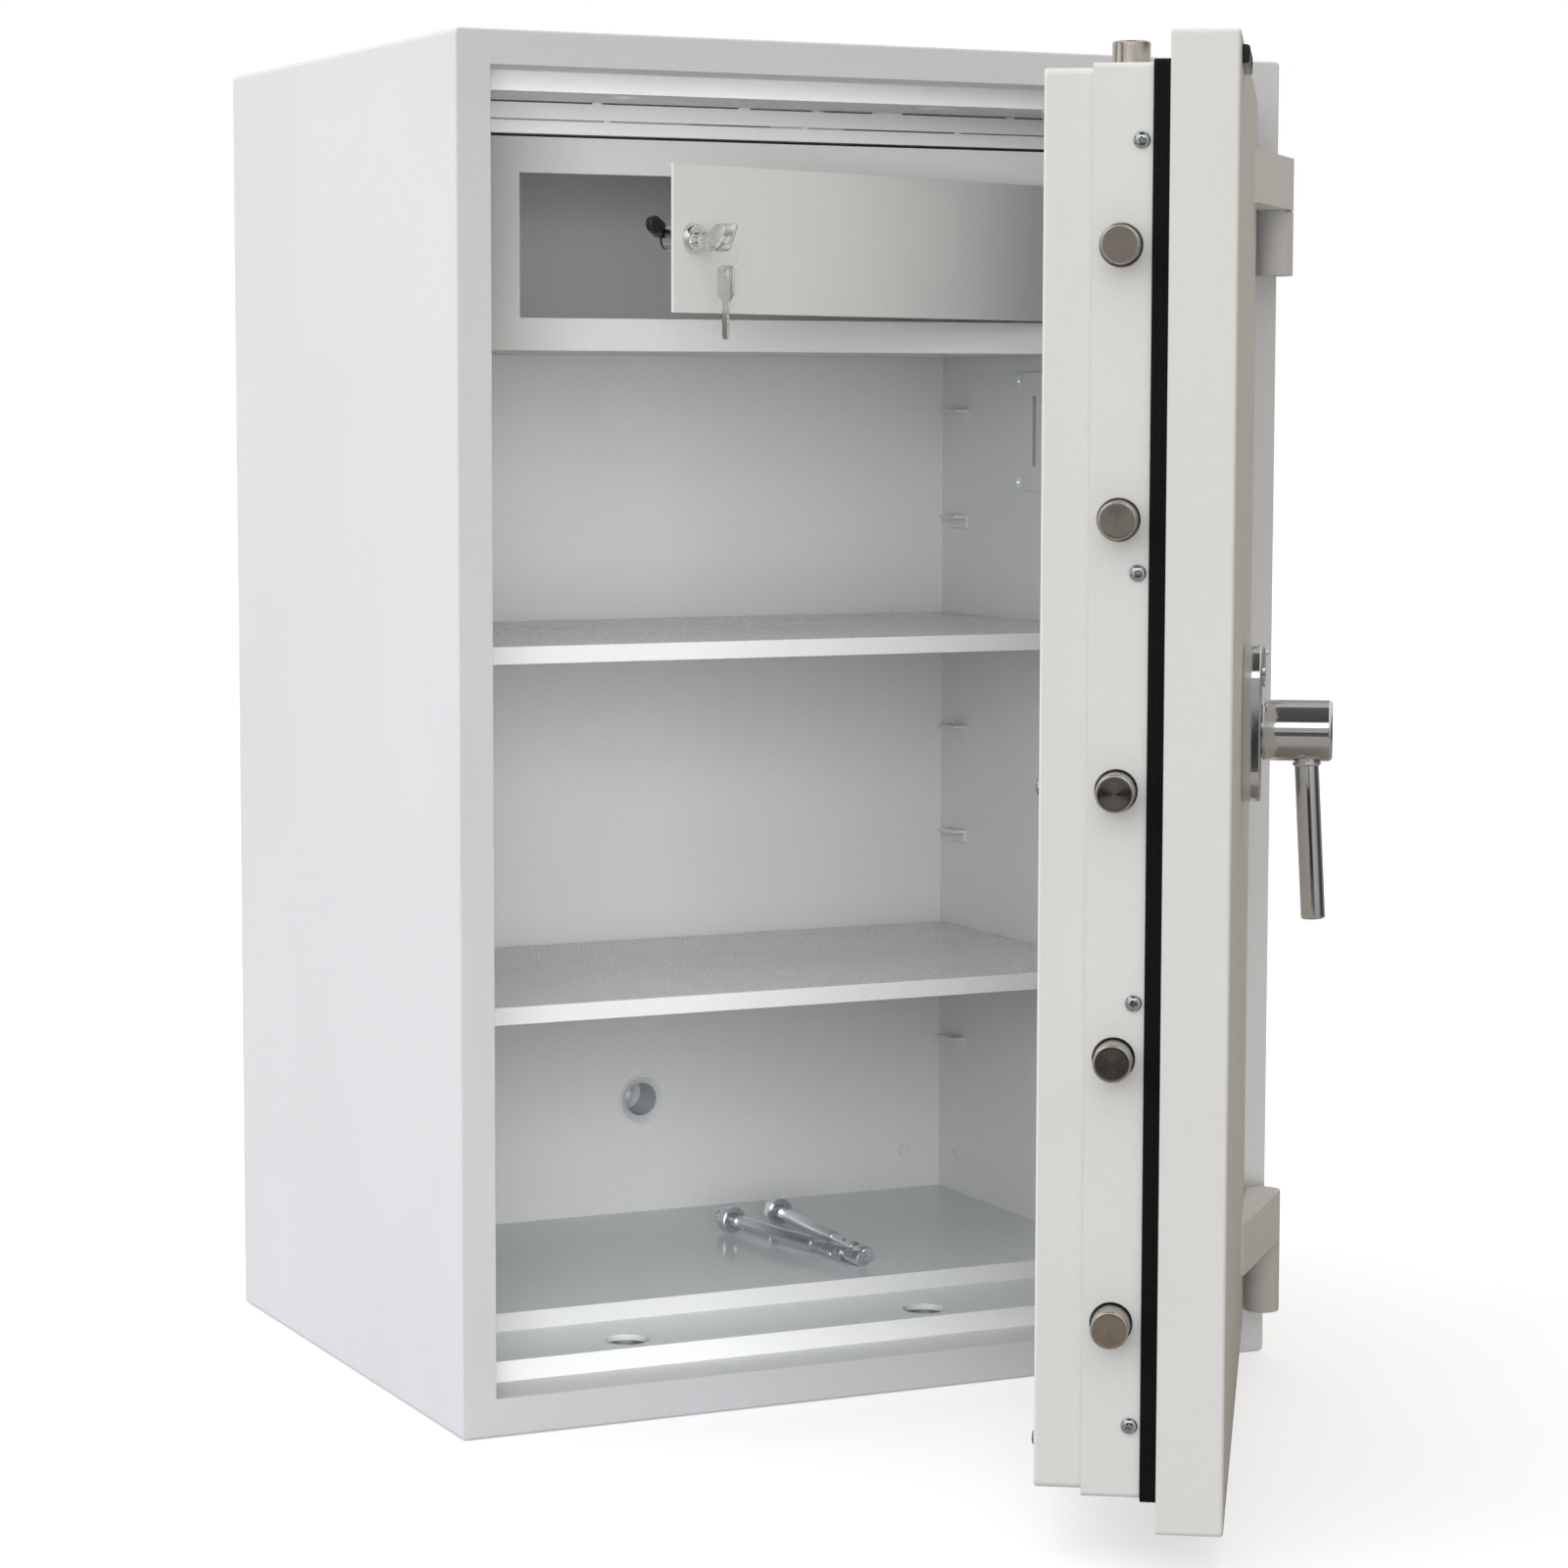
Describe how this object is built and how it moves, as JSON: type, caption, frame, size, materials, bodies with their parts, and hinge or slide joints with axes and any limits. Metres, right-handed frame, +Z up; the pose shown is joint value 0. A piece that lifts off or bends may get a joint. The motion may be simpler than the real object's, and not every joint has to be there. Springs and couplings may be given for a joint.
{
  "type": "security safe",
  "caption": "Key-locking steel safe with open hinged door, sliding bolts on three sides, turning lever handle, shelves and a small lockable inner compartment with keys in its lock",
  "frame": {"origin": "centre of the base footprint of the cabinet, on the floor it stands on (the open door is left out of that footprint)", "axes": "+X to the right as seen from the front, +Y into the safe towards its back, +Z up; the door is on the -Y side and hinged on the +X side"},
  "size_m": [0.6063, 0.9316, 0.9],
  "materials": {
    "case_paint": "fine textured powder coat, very light grey",
    "inner_paint": "fine textured powder coat, light grey",
    "door_paint": "fine textured powder coat, warm light grey",
    "barrier": "cast mineral filling, inside the walls",
    "hard_plate": "hardened plate",
    "bolt_nickel": "turned and nickel plated",
    "zinc": "bright zinc plated",
    "chrome_trim": "polished",
    "brass_bush": "turned",
    "seal_black": "matt black expanding strip",
    "cap_black": "black plastic",
    "plate_black": "blank black plate",
    "plug_grey": "light grey plastic",
    "key_nickel": "nickel plated"
  },
  "bodies": {
    "cabinet": {"outer_casing": "case_paint", "back_panel": "case_paint", "door_frame": "inner_paint", "bolt_socket_cups": "zinc", "inner_liner": "inner_paint", "liner_back_wall": "inner_paint", "barrier_fill": "barrier", "anchor_sleeve": "inner_paint", "wall_plugs": "plug_grey", "wall_cover_plate": "inner_paint", "wall_cover_screws": "zinc", "shelf_tabs": "inner_paint", "upper_shelf": "inner_paint", "lower_shelf": "inner_paint", "compartment_box": "inner_paint", "compartment_front": "inner_paint", "hinge_knuckles": "door_paint", "hinge_pins": "zinc", "hinge_bearings": "zinc", "anchor_bolts": "zinc", "anchor_nuts": "zinc", "inner_hinge_pins": "zinc"},
    "door": {"door_slab": "door_paint", "door_back_plate": "door_paint", "drill_plate": "hard_plate", "door_fill": "barrier", "door_bushes": "brass_bush", "door_seal": "seal_black", "bolt_housing": "door_paint", "dog_bolts": "bolt_nickel", "boltwork_cover": "door_paint", "key_pocket": "door_paint", "door_screws": "zinc", "boltwork_guides": "zinc", "hinge_arms": "door_paint", "escutcheon": "chrome_trim", "lock_case": "zinc", "lock_levers": "brass_bush", "name_plate": "plate_black"},
    "keyhole_flap": {"keyhole_cover": "chrome_trim"},
    "handle": {"handle_boss": "chrome_trim", "handle_lever": "chrome_trim", "handle_spindle": "zinc", "drive_pinion": "zinc"},
    "latch_boltwork": {"latch_bolts": "bolt_nickel", "latch_carrier": "zinc"},
    "top_boltwork": {"top_bolts": "bolt_nickel", "top_link_bar": "zinc"},
    "bottom_boltwork": {"bottom_bolts": "bolt_nickel", "bottom_link_bar": "zinc"},
    "lock_bolt_body": {"lock_bolt": "brass_bush"},
    "inner_door": {"inner_door_panel": "inner_paint", "cam_lock_body": "chrome_trim", "cam_lock_nut": "zinc"},
    "key_plug": {"cam_lock_plug": "chrome_trim", "lock_cam": "zinc", "lock_cam_cap": "cap_black", "lock_key": "key_nickel"},
    "hanging_keys": {"key_ring": "key_nickel", "spare_key": "key_nickel"}
  },
  "joints": [
    {"name": "door_swing", "type": "hinge", "parent": "cabinet", "child": "door", "pos_m": [0.292, -0.2376, 0.45], "axis": [0, 0, 1], "range_deg": [-57.2, 120.8]},
    {"name": "inner_door_swing", "type": "hinge", "parent": "cabinet", "child": "inner_door", "pos_m": [0.219, -0.091, 0.7705], "axis": [0, 0, 1], "range_deg": [-23.15, 48.89]},
    {"name": "handle_turn", "type": "hinge", "parent": "door", "child": "handle", "pos_m": [0.15332, -0.48491, 0.464], "axis": [-0.8406, 0.5417, 0], "range_deg": [0, 90]},
    {"name": "latch_bolts_slide", "type": "slide", "parent": "door", "child": "latch_boltwork", "axis": [0.5417, 0.8406, 0], "range_m": [0, 0.01963]},
    {"name": "top_bolts_slide", "type": "slide", "parent": "door", "child": "top_boltwork", "axis": [0, 0, -1], "range_m": [0, 0.01963]},
    {"name": "bottom_bolts_slide", "type": "slide", "parent": "door", "child": "bottom_boltwork", "axis": [0, 0, 1], "range_m": [0, 0.01963]},
    {"name": "lock_bolt_slide", "type": "slide", "parent": "door", "child": "lock_bolt_body", "axis": [-0.5417, -0.8406, 0], "range_m": [-0.01, 0]},
    {"name": "keyhole_cover_swing", "type": "hinge", "parent": "door", "child": "keyhole_flap", "pos_m": [0.13886, -0.47559, 0.5124], "axis": [-0.8406, 0.5417, 0], "range_deg": [-100, 100]},
    {"name": "key_turn", "type": "hinge", "parent": "inner_door", "child": "key_plug", "pos_m": [-0.15413, -0.25815, 0.7706], "axis": [-0.3931, 0.9195, 0], "range_deg": [-34, 56]},
    {"name": "key_ring_swing", "type": "hinge", "parent": "key_plug", "child": "hanging_keys", "pos_m": [-0.14287, -0.28651, 0.76898], "axis": [-0.8264, -0.3534, 0.4384], "range_deg": [-12, 15]}
  ],
  "couplings": [
    {"joint": "inner_door_swing", "follows": "door_swing", "ratio": 0.40472},
    {"joint": "latch_bolts_slide", "follows": "handle_turn", "m_per_rad": 0.0125},
    {"joint": "top_bolts_slide", "follows": "handle_turn", "m_per_rad": 0.0125},
    {"joint": "bottom_bolts_slide", "follows": "handle_turn", "m_per_rad": 0.0125}
  ]
}
